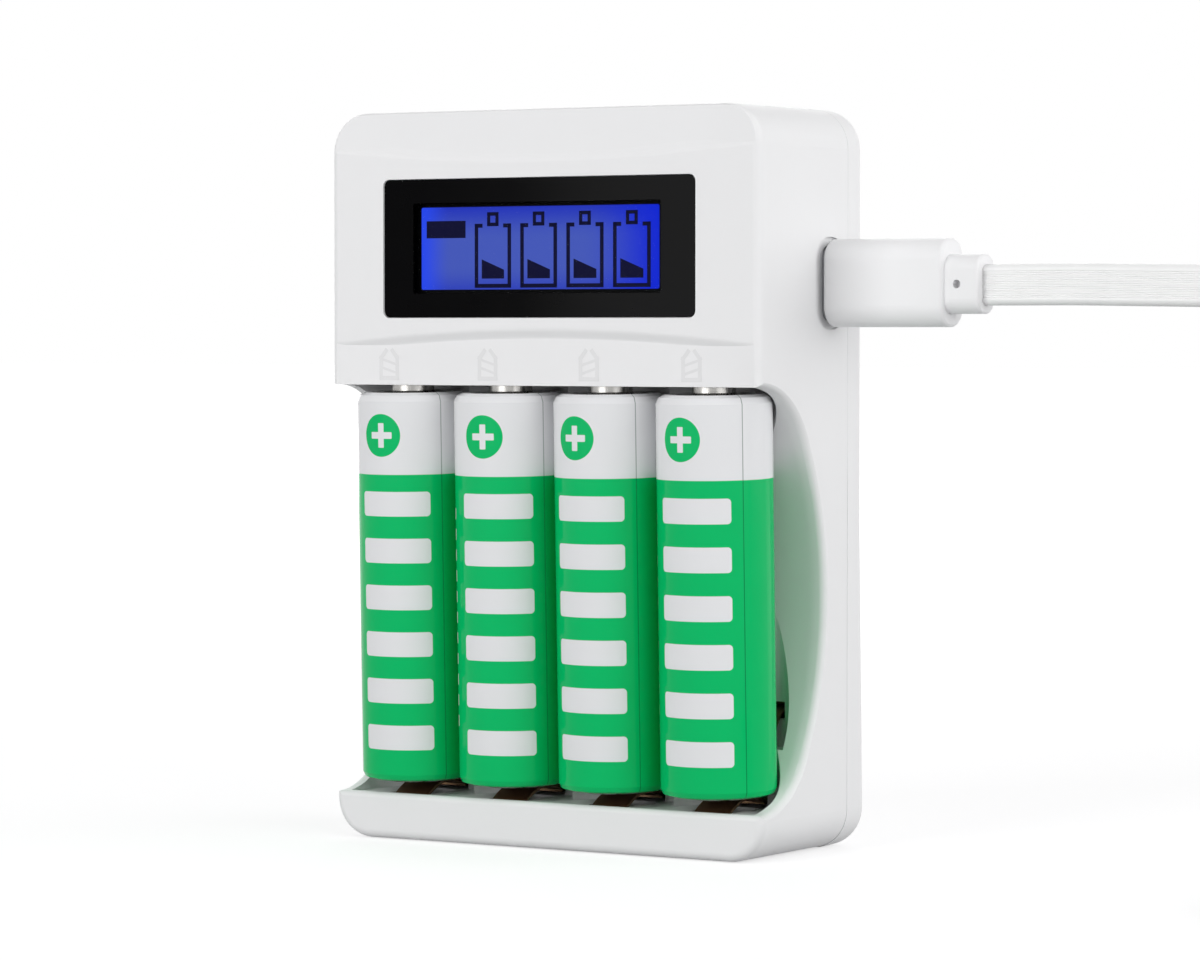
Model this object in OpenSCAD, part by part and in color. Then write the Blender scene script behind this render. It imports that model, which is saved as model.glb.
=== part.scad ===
// Upright charger for four AA cells, with a lit display and its flat charging lead.
// Millimetres. X runs to the viewer's right, Y to the back, Z up. The base stands on Z = 0.
// Depths written as v are measured back from the flat front of the housing.

/* [Housing] */
// Depth of the rear cover behind the parting line
cover_depth = 4.8; // [4.6:0.1:6]
// Corner radius seen from the front
corner_r = 5; // [4:0.25:6]
// Radius along the front edges
front_edge_r = 1.1; // [0.7:0.1:1.5]
// Radius along the rear edges
rear_edge_r = 2.4; // [1.4:0.2:3]
// Radius of both edges at the parting line
seam_r = 0.15; // [0.1:0.05:0.2]
// Radius along the top of the tray's front lip
lip_r = 0.7; // [0.4:0.1:0.8]
// Thickness of the outer walls
wall = 1.8; // [1.6:0.1:2]
// Thickness of the walls round the bay
bay_wall = 1.6; // [1.4:0.1:1.8]
// Depth of the shallow dish under the display
dish_low = 0.6; // [0.4:0.1:0.8]
// Depth of the shallow dish above the display
dish_high = 0.2; // [0.1:0.05:0.4]
// Length over which the lower dish drops from the front face to its full depth
dish_run = 1.5; // [1.3:0.1:1.8]
// Length over which the upper dish does so
dish_rise = 0.9; // [0.8:0.1:1.2]
// How far the tray's front stands behind the head's front
lip_set = 0.8; // [0.6:0.1:0.9]
// How much deeper the case is at its foot than at its head
heel = 1; // [0.8:0.1:1.2]

/* [Cells and bay] */
// Diameter of a cell over its wrap
cell_d = 14.3; // [14:0.1:14.4]
// Overall length of a cell with its button
cell_len = 50.3; // [49.6:0.1:50.5]
// Gap between neighbouring cells
cell_gap = 0.5; // [0.3:0.1:1]
// Room beside the outer cells
bay_side = 0.1; // [0.1:0.1:1]
// Forward lean of the cells in degrees
cell_lean = 1.5; // [0:0.1:1.6]
// Depth of the cell axis at its foot
cell_v = 6.1; // [5.9:0.1:6.2]
// Thickness of the printed wrap
wrap_t = 0.15; // [0.1:0.05:0.2]
// Diameter of the positive button
button_d = 5.4; // [5:0.1:5.5]
// Height of the tray floor
tray_h = 5.6; // [5.4:0.1:6.5]
// Room under a cell for its sprung leaf
cell_lift = 2.1; // [2:0.1:2.4]
// Depth of the finger scoop behind the cradles
scoop_more = 2.5; // [2.3:0.1:3]
// Radius of the two ends of the scoop
scoop_end_r = 12; // [11:0.5:13]
// Soft radius along the scoop's side edges
scoop_soft = 1; // [0.6:0.1:1.2]

/* [Display] */
// Width of the display window
window_w = 45.9; // [44:0.1:46]
// Height of the display window
window_h = 17.4; // [16.5:0.1:17.6]
// Sideways place of the display window
window_x = -0.5; // [-0.6:0.1:0.6]
// Height of the window above the head's lower edge
window_rise = 8.45; // [8:0.05:9]
// Height of the head above the window
window_over = 8.45; // [8:0.05:10]
// Thickness of the window
window_t = 0.95; // [0.8:0.05:1]
// How far the window sits back from the front
window_set = 0.25; // [0.1:0.05:0.4]
// Width of the ledge at the window's ends
window_ledge = 2.5; // [2:0.1:3]
// Thickness of the display panel
lcd_t = 2; // [1.6:0.1:2.4]
// Thickness of the light guide
light_t = 2.6; // [2:0.1:3]

/* [Contacts] */
// Width of an AA leaf
leaf_w = 5; // [4.4:0.2:5.4]
// Thickness of the leaf strip
leaf_t = 0.35; // [0.3:0.05:0.4]
// Width of an AAA leaf
small_leaf_w = 7; // [6:0.2:7]
// Width of a positive contact
plus_w = 8; // [7:0.2:8.4]
// Thickness of a positive contact
plus_t = 0.4; // [0.3:0.05:0.5]
// Width of a positive contact's tab
plus_tab_w = 4; // [3:0.2:5]
// Height of a positive contact's tab
plus_tab_h = 4; // [3:0.2:5]

/* [Boards] */
// Thickness of both boards
board_t = 1.6; // [1:0.1:1.6]
// Room at each side of the boards
board_side = 2; // [1.5:0.1:3]
// Length of the header between the boards
link_w = 22.8; // [15:0.1:25]
// Height of the header between the boards
link_h = 2.5; // [2:0.1:3]
// Edge length of the control chip
chip_w = 10; // [7:0.5:12]
// Diameter of the power coil
coil_d = 8.4; // [6:0.2:10]
// Diameter of a filter capacitor
cap_d = 6.2; // [5:0.2:6.6]
// Length of a filter capacitor
cap_len = 6.6; // [5:0.2:7]

/* [Charging lead] */
// Height of the charging plug's grip
plug_h = 10.8; // [10:0.1:11.4]
// Thickness of the charging plug's grip
plug_t = 6; // [5.6:0.1:6.4]
// Length of the charging plug's grip
plug_len = 16.4; // [15:0.2:18]
// Width of the flat cord
cord_w = 5; // [4.6:0.1:5.2]
// Thickness of the flat cord
cord_t = 2.2; // [2:0.1:2.4]
// Radius where the cord joins the stored coil
coil_r = 26; // [25:0.5:28]

/* [Clearances] */
// Room between pieces that slide into each other
fit_gap = 0.08; // [0.05:0.01:0.1]
// Room round a leaf where it passes a wall
slot_gap = 0.45; // [0.4:0.05:0.6]
// Room between a cell and its cradle
cradle_gap = 0.45; // [0.4:0.05:0.6]
// Room between the plug's grip and the housing
plug_gap = 0.3; // [0.2:0.1:1]

/* [Hidden] */
$fn = 48;
cell_pitch = cell_d + cell_gap;
inner_w = 4 * cell_pitch + 2 * bay_side;
body_w = inner_w + 2 * wall;
cell_z = tray_h + cell_lift;
lip_z = tray_h + 0.25;
plus_z = cell_z + cell_len + 0.1;
ceil_z = plus_z + plus_t;
head_z = ceil_z - 1;
head_floor_z = ceil_z + bay_wall;
cradle_r = cell_d / 2 + cradle_gap;
cradle_v = cell_v - 0.2;
scoop_v = cradle_v + cradle_r + scoop_more;
small_v = scoop_v - 0.05;
small_half = 5.9;
small_corner = 4;
small_floor_z = tray_h + 7.3;
liner_v = small_v + bay_wall;
socket_v = liner_v + 0.15;
socket_z = head_z + 12.7;
socket_t = 3.2;
board_v = socket_v + socket_t / 2;
split_v = board_v + board_t + 0.7;
body_d = split_v + cover_depth;
front_y = -body_d / 2;
socket_y = front_y + socket_v;
body_h = head_z + window_rise + window_h + window_over;
window_z = head_z + window_rise;
window_mid_z = window_z + window_h / 2;
light_v = wall + lcd_t;
display_board_v = light_v + light_t;
display_board_h = window_h + 0.8;
display_board_w = inner_w - 3;
link_z = window_z + window_h - 1.2;
screw_low_z = tray_h + 1.4;
screw_high_z = body_h - 4.8;
screw_places = [
  [-cell_pitch, screw_low_z],
  [cell_pitch, screw_low_z],
  [-body_w / 2 + 5.5, screw_high_z],
  [body_w / 2 - 5.5, screw_high_z]
];
boss_r = 2.8;
screw_r = 1;
head_r = 2.2;
head_t = 1.6;
seat_v = body_d - 2.8;
heel_z = body_h / 2;
plug_seat = 0.5;
cell_x = [for (i = [0:3]) (i - 1.5) * cell_pitch];

// Steel foot that stands out below the wrap of each cell
foot_h = 0.4;

// Scoop outline made of three arcs that run into each other
scoop_mid_z = (lip_z + head_z) / 2;
scoop_half = (head_z - lip_z) / 2;
scoop_end_v = 0.5;
scoop_end_z = scoop_half - scoop_end_r;
scoop_gap = scoop_v - scoop_end_v;
scoop_mid_r = (scoop_gap * scoop_gap + scoop_end_z * scoop_end_z - scoop_end_r * scoop_end_r)
  / (2 * (scoop_gap - scoop_end_r));
scoop_reach = scoop_end_z * scoop_mid_r / (scoop_mid_r - scoop_end_r);

// Arched leaf under each AA cell
leaf_top_z = cell_z - foot_h - 0.06;
leaf_r = 8.7;
leaf_mid_v = cell_v + 3.5;
leaf_mid_z = leaf_top_z - leaf_r;
leaf_tail_z = leaf_top_z - 1.3;
leaf_end_v = board_v - 0.1;
leaf_pivot_v = cradle_v + cradle_r + 0.8;

// Quarter-round leaf for the shorter AAA size, higher up in the bay
small_leaf_r = 3.95;
small_leaf_v = small_v + 1.65;
small_leaf_z = small_floor_z + 1;

// Charging lead, from the socket to the coil on the table
plug_x = body_w / 2 + plug_gap;
collar_x = plug_x + plug_len;
collar_len = 4.6;
collar_h = 7.2;
collar_t = 4.6;
lead_x = collar_x + collar_len;
coil_wind = 6.8;
coil_mid_r = coil_r - 2;
coil_lift = 0.6;
lead_z = socket_z - 0.3;
drop_x = lead_x + 47.4;
coil_x = drop_x + coil_r;
coil_y = socket_y - 18;
cord_mid_z = coil_lift + cord_w / 2;
top_route = [
  [0, 0, 0],
  [6, 0, 0],
  [12, 0, 0],
  [19, -0.1, 0],
  [26, -0.2, 0],
  [29.5, -0.3, 5],
  [33, -0.6, 25],
  [36.5, -1.4, 50],
  [40, -3, 70],
  [43, -5.4, 82],
  [45.4, -8.6, 90],
  [46.9, -12.2, 90],
  [47.4, -16.4, 90]
];
low_route = [
  [0, 18, 0],
  [-0.9, 12.4, 0],
  [-3.4, 7.4, 15],
  [-7.4, 3.4, 40],
  [-12.4, 0.9, 70],
  [-18, 0, 90]
];
drop_from = lead_z - 16.4;
drop_to = cord_mid_z + 18;
route = concat(
  [for (p = top_route) [lead_x + p[0], socket_y, lead_z + p[1], 0, sin(p[2]), cos(p[2])]],
  [for (k = [1:3])
    [drop_x, socket_y, drop_from + (drop_to - drop_from) * k / 4, sin(k * 22.5), cos(k * 22.5), 0]],
  [for (p = low_route) [drop_x, socket_y + p[0], cord_mid_z + p[1], cos(p[2]), 0, sin(p[2])]]
);
tail_r = 12;
tail_from_r = coil_r - 4.2;
far_z = coil_lift + cord_w + 0.1 + 3.9;
tail_y = coil_y + tail_from_r - tail_r;
far_x = coil_x + 2;
tail_route = concat(
  [for (k = [0:9])
    let (a = 90 + 20 * k, s = k / 9, lift = s * s * (3 - 2 * s))
    [coil_x + tail_r * cos(a), tail_y + tail_r * sin(a), cord_mid_z + (far_z - cord_mid_z) * lift,
      0, 0, 1]],
  [[far_x, tail_y - tail_r, far_z, 0, 0, 1]]
);

// Shapes drawn on the front view (X across, Z up) and run back from depth v0 to v1
module run_back(v0, v1) {
  translate([0, front_y + v1, 0])
    rotate([90, 0, 0])
      linear_extrude(height = v1 - v0)
        children();
}

// Shapes drawn on the side view (depth v across, Z up) and run along X from x0 to x1
module run_across(x0, x1) {
  translate([x0, front_y, 0])
    rotate([90, 0, 90])
      linear_extrude(height = x1 - x0)
        children();
}

module block(x0, x1, v0, v1, z0, z1) {
  translate([x0, front_y + v0, z0])
    cube([x1 - x0, v1 - v0, z1 - z0]);
}

module round_rect(w, h, r) {
  translate([-w / 2 + r, -h / 2])
    square([w - 2 * r, h]);
  translate([-w / 2, -h / 2 + r])
    square([w, h - 2 * r]);
  for (sx = [-1, 1], sy = [-1, 1])
    translate([sx * (w / 2 - r), sy * (h / 2 - r)])
      circle(r = r);
}

// Half outline of a soft-ended block: half width a, from t0 to t1, end radii r0 and r1
module soft_half(a, t0, t1, r0, r1) {
  translate([0, t0 + r0])
    square([a, t1 - t0 - r0 - r1]);
  if (r0 > 0) {
    translate([0, t0])
      square([a - r0, r0 + 0.01]);
    translate([a - r0, t0 + r0])
      circle(r = r0);
  }
  if (r1 > 0) {
    translate([0, t1 - r1 - 0.01])
      square([a - r1, r1 + 0.01]);
    translate([a - r1, t1 - r1])
      circle(r = r1);
  }
}

module soft_full(a, t0, t1, r0, r1) {
  soft_half(a, t0, t1, r0, r1);
  mirror([1, 0])
    soft_half(a, t0, t1, r0, r1);
}

// Block with rounded corners in its X-Z section and rounded rims at both ends along Y
module soft_block(w, h, rc, t0, t1, r0, r1) {
  translate([0, 0, -h / 2 + rc])
    linear_extrude(height = h - 2 * rc)
      soft_full(w / 2, t0, t1, r0, r1);
  translate([-w / 2 + rc, 0, 0])
    rotate([0, 90, 0])
      linear_extrude(height = w - 2 * rc)
        soft_full(h / 2, t0, t1, r0, r1);
  for (sx = [-1, 1], sz = [-1, 1])
    translate([sx * (w / 2 - rc), 0, sz * (h / 2 - rc)])
      rotate([-90, 0, 0])
        rotate_extrude()
          soft_half(rc, t0, t1, r0, r1);
}

// One arc of the scoop, turned about its own centre line, with soft edges at both sides
module scoop_arc(r) {
  scoop_flat = body_w / 2 - 0.9 * scoop_soft;
  rotate([0, 90, 0])
    rotate_extrude($fn = 180)
      difference() {
        translate([0, -body_w])
          square([r + scoop_soft, 2 * body_w]);
        translate([r, -scoop_flat])
          square([scoop_soft + 1, 2 * scoop_flat]);
        for (s = [-1, 1])
          translate([r + scoop_soft, s * scoop_flat])
            circle(r = scoop_soft);
      }
}

module scoop_cut() {
  intersection() {
    translate([0, front_y + scoop_v - scoop_mid_r, scoop_mid_z])
      scoop_arc(scoop_mid_r);
    translate([-body_w, front_y - 6, scoop_mid_z - scoop_reach])
      cube([2 * body_w, scoop_v + 12, 2 * scoop_reach]);
  }
  for (s = [-1, 1])
    translate([0, front_y + scoop_end_v + 0.05, scoop_mid_z + s * (scoop_end_z + 0.05)])
      scoop_arc(scoop_end_r);
}

// Outline of one AAA channel seen from above
module small_channel() {
  translate([-small_half, 2])
    square([2 * small_half, small_v - small_corner - 2]);
  translate([-small_half + small_corner, 2])
    square([2 * (small_half - small_corner), small_v - 2]);
  for (s = [-1, 1])
    translate([s * (small_half - small_corner), small_v - small_corner])
      circle(r = small_corner);
}

// Takes the hard edge off the front of the lip
module lip_rounding() {
  run_across(-body_w, body_w)
    difference() {
      translate([-1, lip_z - lip_r])
        square([lip_set + lip_r + 1, lip_r + 0.2]);
      translate([lip_set + lip_r, lip_z - lip_r])
        circle(r = lip_r);
    }
}

module bay_cut() {
  scoop_cut();
  block(-inner_w / 2, inner_w / 2, -5, 2.2, lip_z, head_z);
  lip_rounding();
  block(-inner_w / 2, inner_w / 2, 1.6, cradle_v, tray_h, ceil_z);
  for (i = [0:3]) {
    // Cradle, upright below the middle of the scoop and leaning with the cell above it
    intersection() {
      translate([cell_x[i], front_y + cradle_v, tray_h])
        cylinder(r = cradle_r, h = ceil_z - tray_h);
      behind_cell(i, tray_h - 1, scoop_mid_z);
    }
    intersection() {
      seat_cell(i)
        cylinder(r = cradle_r, h = cell_len + 6);
      behind_cell(i, scoop_mid_z, ceil_z);
    }
    translate([cell_x[i], front_y, small_floor_z])
      linear_extrude(height = scoop_mid_z - 0.5 - small_floor_z)
        small_channel();
  }
}

// Room behind the front edge of the bay, as wide as one cradle
module behind_cell(i, z0, z1) {
  block(cell_x[i] - cradle_r - 1, cell_x[i] + cradle_r + 1, 2, cradle_v + cradle_r + 1, z0, z1);
}

// Rim of a shallow dish: a wide arch whose edge drops in a soft S to its full depth
module arch_step(arc_r, depth, run) {
  steps = 8;
  rim = [for (k = [0:steps])
    [arc_r + run * (0.5 - k / steps), depth * (1 - cos(180 * k / steps)) / 2]];
  rotate([-90, 0, 0])
    rotate_extrude($fn = 720)
      polygon(concat(
        [[arc_r - 16, -1], [arc_r + run, -1], [arc_r + run, -0.1]],
        rim,
        [[arc_r - 16, depth + 2]]
      ));
}

// Floor of a dish seen from above: flat in the middle, and running out towards both sides
module dish_floor(depth) {
  steps = 6;
  half = body_w / 2 - 0.5;
  ramp = 11;
  right = [for (k = [0:steps]) [half - ramp * (1 - k / steps), depth * (1 - pow(k / steps, 2))]];
  polygon(concat(
    [[half + 1, -1], [-half - 1, -1], [-half - 1, -0.1]],
    [for (k = [steps:-1:0]) [-right[k][0], right[k][1]]],
    right,
    [[half + 1, -0.1]]
  ));
}

// Shallow dishes that give the head its two curved lines
module low_dish() {
  arc_r = 265;
  intersection() {
    translate([0, front_y, head_z + 6.45 - arc_r])
      arch_step(arc_r, dish_low + 0.03, dish_run);
    translate([0, front_y, head_z - 2])
      linear_extrude(height = 11)
        dish_floor(dish_low);
  }
}

module high_dish() {
  arc_r = 290;
  intersection() {
    translate([0, front_y, head_z + 28 + arc_r])
      arch_step(arc_r, dish_high, dish_rise);
    translate([0, front_y, head_z + 28])
      rotate([-2.5, 0, 0])
        translate([0, 0, -4])
          linear_extrude(height = 14)
            dish_floor(dish_high);
  }
}

// Outside of the front half: the head's front, and the tray's front a little behind it
module front_outside() {
  join_z = scoop_mid_z - 10;
  intersection() {
    translate([0, front_y, body_h / 2])
      soft_block(body_w, body_h, corner_r, 0, split_v, front_edge_r, seam_r);
    block(-body_w, body_w, -1, body_d, join_z, body_h + 1);
  }
  intersection() {
    translate([0, front_y, body_h / 2])
      soft_block(body_w, body_h, corner_r, lip_set, split_v, front_edge_r, seam_r);
    block(-body_w, body_w, -1, body_d, -1, join_z + 0.5);
  }
}

// Outside of the cover: upright behind the head, and leaning out to the heel below
module rear_outside() {
  intersection() {
    translate([0, front_y, body_h / 2])
      soft_block(body_w, body_h, corner_r, split_v, body_d, seam_r, rear_edge_r);
    block(-body_w, body_w, 0, body_d + 5, heel_z, body_h + 1);
  }
  intersection() {
    translate([0, -front_y - 0.05, heel_z])
      rotate([asin(heel / heel_z), 0, 0])
        translate([0, 2 * front_y, body_h / 2 - heel_z])
          soft_block(body_w, body_h, corner_r, split_v - 3, body_d, 0, rear_edge_r);
    block(-body_w, body_w, split_v, body_d + 5, 0, heel_z + 1);
  }
}

module front_housing() {
  color([0.93, 0.93, 0.94])
    difference() {
      union() {
        difference() {
          front_outside();
          // Room in the head
          run_back(wall, split_v + 1)
            translate([0, (head_floor_z + body_h - wall) / 2])
              round_rect(inner_w, body_h - wall - head_floor_z, corner_r - wall);
          // Room behind the bay
          run_back(liner_v, split_v + 1)
            translate([0, body_h / 2])
              round_rect(inner_w, body_h - 2 * wall, corner_r - wall);
          // Room under the tray
          block(-inner_w / 2 + board_side, inner_w / 2 - board_side, lip_set + wall, liner_v + 1, wall, tray_h - bay_wall);
        }
        // Screw bosses and posts for both boards
        for (p = screw_places)
          translate([p[0], front_y + (p[1] > head_z ? wall - 0.5 : liner_v - 0.5), p[1]])
            rotate([-90, 0, 0])
              cylinder(r = boss_r, h = split_v - (p[1] > head_z ? wall - 0.5 : liner_v - 0.5));
        for (s = [-1, 1]) {
          translate([s * (body_w / 2 - 5), front_y + wall - 0.5, window_mid_z])
            rotate([-90, 0, 0])
              cylinder(r = 1.8, h = display_board_v - wall + 0.5);
          translate([s * cell_pitch, front_y + liner_v - 0.5, scoop_mid_z])
            rotate([-90, 0, 0])
              cylinder(r = 2, h = board_v - liner_v + 0.5);
        }
      }
      bay_cut();
      low_dish();
      high_dish();
      // Window seat with a ledge behind it
      run_back(-1, window_set + window_t)
        translate([window_x, window_mid_z])
          round_rect(window_w, window_h, 0.9);
      run_back(0, wall + 0.5)
        translate([window_x, window_mid_z])
          round_rect(window_w - 2 * window_ledge, window_h - 3.4, 0.9);
      // Screw holes
      for (p = screw_places)
        translate([p[0], front_y + split_v - 8, p[1]])
          rotate([-90, 0, 0])
            cylinder(r = screw_r + 0.05, h = 9, $fn = 24);
      // Slots for the contacts
      for (x = cell_x) {
        block(x - leaf_w / 2 - slot_gap, x + leaf_w / 2 + slot_gap, cell_v - 2.8, cradle_v + cradle_r,
          tray_h - bay_wall - 0.1, tray_h + 0.1);
        block(x - leaf_w / 2 - slot_gap, x + leaf_w / 2 + slot_gap, cradle_v + cradle_r - 1, liner_v + 1,
          leaf_tail_z - 0.6, leaf_tail_z + 1.2);
        block(x - small_leaf_w / 2 - slot_gap, x + small_leaf_w / 2 + slot_gap, small_v - 1.5, liner_v + 1,
          small_leaf_z + 2.4, small_leaf_z + 4.6);
        block(x - plus_w / 2 - fit_gap, x + plus_w / 2 + fit_gap, 1.7, liner_v + 1, plus_z - 0.1, ceil_z);
      }
      // Mouth of the charging socket
      translate([body_w / 2 - wall - 1, socket_y, socket_z])
        rotate([90, 0, 90])
          linear_extrude(height = wall + 2)
            round_rect(socket_t + 2 * fit_gap, 9 + 2 * fit_gap, 1.3);
      // Shallow seat that the plug's grip faces
      translate([body_w / 2 - plug_seat, socket_y - 0.45, socket_z])
        rotate([90, 0, 90])
          linear_extrude(height = plug_seat + 1)
            round_rect(plug_t + 1.5, plug_h + 0.6, 3.3);
    }
}

module rear_cover() {
  lip_w = inner_w - 0.3;
  lip_h = body_h - 2 * wall - 0.3;
  color([0.92, 0.92, 0.93])
    difference() {
      union() {
        rear_outside();
        // Locating rim inside the front half
        difference() {
          run_back(split_v - 1.2, split_v + 0.5)
            translate([0, body_h / 2])
              round_rect(lip_w, lip_h, corner_r - wall - 0.15);
          for (p = screw_places)
            translate([p[0], front_y + split_v - 2, p[1]])
              rotate([-90, 0, 0])
                cylinder(r = boss_r + 0.3, h = 2);
        }
      }
      difference() {
        run_back(split_v - 2, body_d - wall)
          translate([0, body_h / 2])
            round_rect(lip_w - 2, lip_h - 2, corner_r - wall - 1.15);
        for (p = screw_places)
          translate([p[0], front_y + split_v, p[1]])
            rotate([-90, 0, 0])
              cylinder(r = boss_r + 0.4, h = body_d - split_v - wall + 0.5);
        // Posts that hold the main board against the front half
        for (s = [-1, 1])
          translate([s * cell_pitch, front_y + board_v + board_t, scoop_mid_z])
            rotate([-90, 0, 0])
              cylinder(r = 2, h = body_d - wall - board_v - board_t + 0.5);
      }
      for (p = screw_places) {
        translate([p[0], front_y + split_v - 1, p[1]])
          rotate([-90, 0, 0])
            cylinder(r = screw_r + 0.2, h = body_d, $fn = 24);
        translate([p[0], front_y + seat_v, p[1]])
          rotate([-90, 0, 0])
            cylinder(r = head_r + 0.25, h = 6);
      }
    }
}

module display_window() {
  color([0.02, 0.02, 0.03])
    run_back(window_set, window_set + window_t)
      translate([window_x, window_mid_z])
        round_rect(window_w - 2 * fit_gap, window_h - 2 * fit_gap, 0.9 - fit_gap);
}

module lcd_panel() {
  color([0.15, 0.25, 0.95])
    block(window_x - window_w / 2 + 0.8, window_x + window_w / 2 - 0.8, wall, light_v,
      window_z + 0.4, window_z + window_h - 0.4);
}

module lcd_backlight() {
  color([0.85, 0.88, 0.95])
    block(window_x - window_w / 2 + 0.8, window_x + window_w / 2 - 0.8, light_v, display_board_v,
      window_z + 0.4, window_z + window_h - 0.4);
}

module display_board() {
  color([0.1, 0.35, 0.2])
    run_back(display_board_v, display_board_v + board_t)
      translate([0, window_mid_z])
        round_rect(display_board_w, display_board_h, 0.6);
}

module board_link() {
  color([0.08, 0.08, 0.09])
    block(-link_w / 2, link_w / 2, display_board_v + board_t, board_v, link_z - link_h, link_z);
}

module main_board() {
  color([0.1, 0.35, 0.2])
    block(-inner_w / 2 + board_side, inner_w / 2 - board_side, board_v, board_v + board_t,
      screw_low_z + boss_r + 0.4, screw_high_z - boss_r - 0.4);
}

module charge_socket() {
  color([0.75, 0.76, 0.78])
    translate([body_w / 2 - 7.3, socket_y, socket_z])
      rotate([90, 0, 90])
        difference() {
          linear_extrude(height = 7.2)
            round_rect(socket_t, 9, 1.3);
          translate([0, 0, 0.8])
            linear_extrude(height = 8)
              round_rect(2.6, 8.4, 1.2);
        }
}

module socket_tongue() {
  color([0.08, 0.08, 0.09])
    block(body_w / 2 - 6.5, body_w / 2 - 1.4, socket_v - 0.35, socket_v + 0.35,
      socket_z - 3.3, socket_z + 3.3);
}

module control_chip() {
  color([0.06, 0.06, 0.07])
    block(-chip_w - 8, -8, board_v - 1.8, board_v, socket_z - 6, socket_z - 6 + chip_w);
}

module power_coil() {
  color([0.2, 0.2, 0.21])
    translate([4, front_y + board_v, socket_z - 2])
      rotate([90, 0, 0]) {
        translate([-coil_d / 2 - 0.8, -coil_d / 2 - 0.8, 0])
          cube([coil_d + 1.6, coil_d + 1.6, 0.8]);
        translate([0, 0, 0.4])
          cylinder(d = coil_d, h = 3.8);
      }
}

module filter_caps() {
  color([0.75, 0.76, 0.78])
    for (x = [coil_d / 2 + cap_d / 2 + 7.7, -inner_w / 2 + cap_d / 2 + 2.6])
      translate([x, front_y + board_v, socket_z - 1])
        rotate([90, 0, 0]) {
          cylinder(d = cap_d, h = cap_len);
          translate([-cap_d / 2 - 0.2, -cap_d / 2 - 0.2, 0])
            cube([cap_d + 0.4, cap_d + 0.4, 0.9]);
        }
}

module case_screws() {
  color([0.55, 0.56, 0.58])
    for (p = screw_places)
      translate([p[0], front_y + seat_v, p[1]])
        rotate([-90, 0, 0])
          difference() {
            union() {
              cylinder(r = head_r, h = head_t);
              translate([0, 0, -(seat_v - split_v) - 6])
                cylinder(r = screw_r, h = seat_v - split_v + 6.5, $fn = 24);
            }
            for (a = [0, 90])
              rotate([0, 0, a])
                translate([-1.3, -0.25, head_t - 0.7])
                  cube([2.6, 0.5, 2]);
          }
}

module plus_contact(i) {
  color([0.78, 0.78, 0.77]) {
    block(cell_x[i] - plus_w / 2, cell_x[i] + plus_w / 2, wall + 0.6, board_v, plus_z, ceil_z);
    block(cell_x[i] - plus_tab_w / 2, cell_x[i] + plus_tab_w / 2, board_v - plus_t, board_v,
      plus_z, ceil_z + plus_tab_h);
  }
}

module aa_leaf(i) {
  color([0.5, 0.36, 0.22])
    run_across(cell_x[i] - leaf_w / 2, cell_x[i] + leaf_w / 2) {
      intersection() {
        difference() {
          translate([leaf_mid_v, leaf_mid_z])
            circle(r = leaf_r, $fn = 96);
          translate([leaf_mid_v, leaf_mid_z])
            circle(r = leaf_r - leaf_t, $fn = 96);
        }
        translate([cell_v - 2, tray_h - 1.5])
          square([cradle_v + cradle_r - 0.2 - cell_v + 2, 6]);
      }
      translate([cradle_v + cradle_r - 0.6, leaf_tail_z])
        square([leaf_end_v - cradle_v - cradle_r + 0.6, leaf_t]);
      translate([cradle_v + cradle_r - 0.6, leaf_tail_z])
        square([0.4, leaf_top_z - 0.9 - leaf_tail_z]);
      translate([leaf_end_v - leaf_t, leaf_tail_z])
        square([leaf_t, 6.5]);
    }
}

module aaa_leaf(i) {
  color([0.45, 0.3, 0.18])
    run_across(cell_x[i] - small_leaf_w / 2, cell_x[i] + small_leaf_w / 2) {
      intersection() {
        difference() {
          translate([small_leaf_v, small_leaf_z])
            circle(r = small_leaf_r, $fn = 64);
          translate([small_leaf_v, small_leaf_z])
            circle(r = small_leaf_r - leaf_t, $fn = 64);
        }
        translate([small_leaf_v - small_leaf_r - 1, small_leaf_z])
          square([small_leaf_r + 1, small_leaf_r + 1]);
      }
      translate([small_leaf_v - 0.1, small_leaf_z + small_leaf_r - leaf_t])
        square([leaf_end_v - small_leaf_v + 0.1, leaf_t]);
      translate([leaf_end_v - leaf_t, small_leaf_z + small_leaf_r - leaf_t])
        square([leaf_t, 3]);
    }
}

// Outline of the steel can with its button, turned about the cell's axis
can_r = cell_d / 2 - wrap_t;
can_top = cell_len - 1.45;
foot_r = 4.4;
module can_outline() {
  polygon([
    [0, -foot_h],
    [foot_r - 0.3, -foot_h],
    [foot_r, -foot_h + 0.2],
    [foot_r, wrap_t],
    [can_r - 0.7, wrap_t],
    [can_r - 0.2, wrap_t + 0.2],
    [can_r, wrap_t + 0.7],
    [can_r, can_top - 1],
    [can_r - 0.3, can_top - 0.3],
    [can_r - 1, can_top],
    [button_d / 2 + 0.3, can_top],
    [button_d / 2, can_top + 0.3],
    [button_d / 2, cell_len - 0.35],
    [button_d / 2 - 0.35, cell_len],
    [0, cell_len]
  ]);
}

// Outline of the wrap, which closes over both rims of the can
module wrap_outline() {
  polygon([
    [can_r - 1.4, 0],
    [can_r - 0.65, 0],
    [can_r - 0.1, wrap_t + 0.08],
    [can_r + wrap_t, wrap_t + 0.65],
    [can_r + wrap_t, can_top - 0.95],
    [can_r - 0.2, can_top - 0.18],
    [can_r - 0.95, can_top + wrap_t],
    [can_r - 1.8, can_top + wrap_t],
    [can_r - 1.8, can_top],
    [can_r - 1, can_top],
    [can_r - 0.3, can_top - 0.3],
    [can_r, can_top - 1],
    [can_r, wrap_t + 0.7],
    [can_r - 0.2, wrap_t + 0.2],
    [can_r - 0.7, wrap_t],
    [can_r - 1.4, wrap_t]
  ]);
}

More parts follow.
